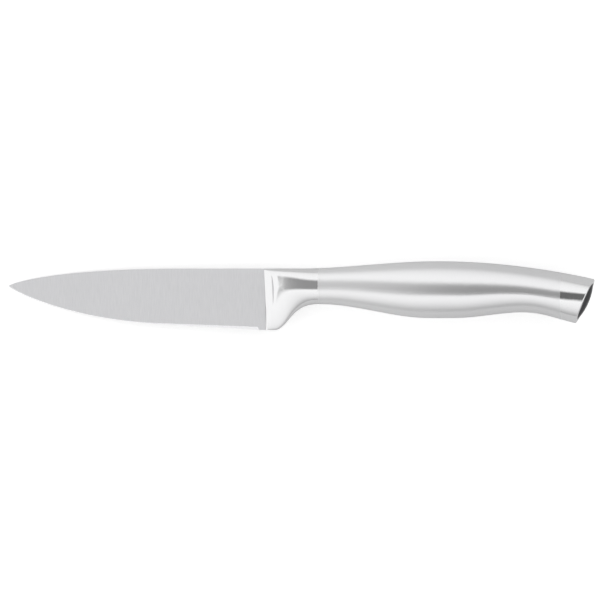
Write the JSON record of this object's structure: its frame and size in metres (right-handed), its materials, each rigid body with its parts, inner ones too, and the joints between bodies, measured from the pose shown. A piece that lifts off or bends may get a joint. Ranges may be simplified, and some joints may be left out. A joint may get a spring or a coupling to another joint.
{
  "type": "paring knife",
  "caption": "Small paring knife with a flat-ground satin steel blade, polished bolster and butt, and a curved hollow satin steel handle.",
  "frame": {"origin": "middle of the knife's bounding box in X and Y, at the lowest point of the handle's side, on which the knife lies", "axes": "+X from the tip to the butt, along the handle; +Y from the cutting edge to the spine; +Z square to the blade's middle plane, out of its left flank"},
  "size_m": [0.204, 0.0238, 0.0166],
  "materials": {
    "satin_blade": "fine satin, ground across the blade",
    "satin_grip": "soft satin, brushed across the grip",
    "satin_weld": "weld metal ground flush and satin brushed",
    "raw_weld": "as welded, hidden in the grip",
    "polished_steel": "mirror polished stainless steel",
    "polished_cap": null
  },
  "bodies": {
    "root": {"blade": "satin_blade", "bolster": "polished_steel", "tang_weld": "raw_weld", "grip_shell_left": "satin_grip", "grip_shell_right": "satin_grip", "spine_seam_weld": "satin_weld", "belly_seam_weld": "satin_weld", "front_girth_weld": "satin_weld", "rear_girth_weld": "satin_weld", "butt_collar": "polished_steel", "end_cap": "polished_cap", "cap_weld": "polished_steel"}
  },
  "joints": []
}
